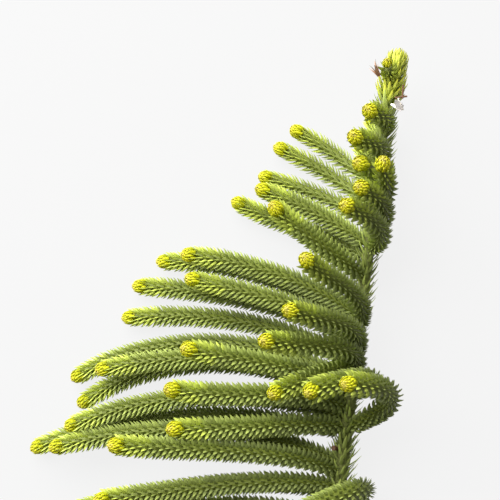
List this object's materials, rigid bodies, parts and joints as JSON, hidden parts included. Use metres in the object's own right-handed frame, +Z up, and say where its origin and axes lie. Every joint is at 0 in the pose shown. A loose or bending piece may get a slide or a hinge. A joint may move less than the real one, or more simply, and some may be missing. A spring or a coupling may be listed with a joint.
{
  "type": "cut norfolk island pine bough",
  "caption": "End of a conifer bough, cut and laid down: a tapering stem with a blunt leader and needle-clad side shoots that sweep round to one side and end in yellow buds.",
  "frame": {"origin": "on the floor under the middle of the bough's box, as it lies", "axes": "+Z up from the floor, +Y along the bough towards its leader, -X the way the side shoots sweep"},
  "size_m": [0.3006, 0.4386, 0.1245],
  "materials": {
    "woody_stem": "green-brown bark under needles",
    "green_needles": "waxy olive-green needles",
    "young_needles": "soft bright green needles",
    "bud_needles": "soft yellow bud needles"
  },
  "bodies": {
    "root": {"stem": "woody_stem", "leader": "young_needles", "leader_shoot_1": "bud_needles", "underside_shoot_1": "green_needles", "underside_shoot_2": "green_needles", "underside_shoot_3": "green_needles", "underside_shoot_4": "green_needles", "underside_shoot_5": "green_needles", "underside_shoot_6": "green_needles", "underside_shoot_7": "green_needles", "underside_shoot_8": "green_needles", "underside_shoot_9": "green_needles", "underside_shoot_10": "green_needles", "underside_shoot_11": "green_needles", "underside_shoot_12": "green_needles", "underside_shoot_13": "green_needles", "underside_shoot_14": "green_needles", "underside_shoot_15": "green_needles", "underside_shoot_16": "green_needles", "lower_shoot_1": "green_needles", "lower_shoot_2": "green_needles", "lower_shoot_3": "green_needles", "lower_shoot_4": "green_needles", "lower_shoot_5": "green_needles", "lower_shoot_6": "green_needles", "upper_shoot_1": "green_needles", "upper_shoot_2": "green_needles", "upper_shoot_3": "green_needles", "upper_shoot_4": "green_needles", "upper_shoot_5": "green_needles", "upper_shoot_6": "green_needles", "upper_shoot_7": "green_needles", "upper_shoot_8": "green_needles", "crest_shoot_1": "green_needles", "crest_shoot_2": "green_needles", "crest_shoot_3": "green_needles", "crest_shoot_4": "green_needles", "crest_shoot_5": "green_needles", "crest_shoot_6": "green_needles", "crest_shoot_7": "green_needles", "crest_shoot_8": "green_needles", "crest_shoot_9": "green_needles", "crest_shoot_10": "green_needles", "arched_shoot_1": "green_needles", "arched_shoot_2": "green_needles", "arched_shoot_3": "green_needles"}
  },
  "joints": []
}
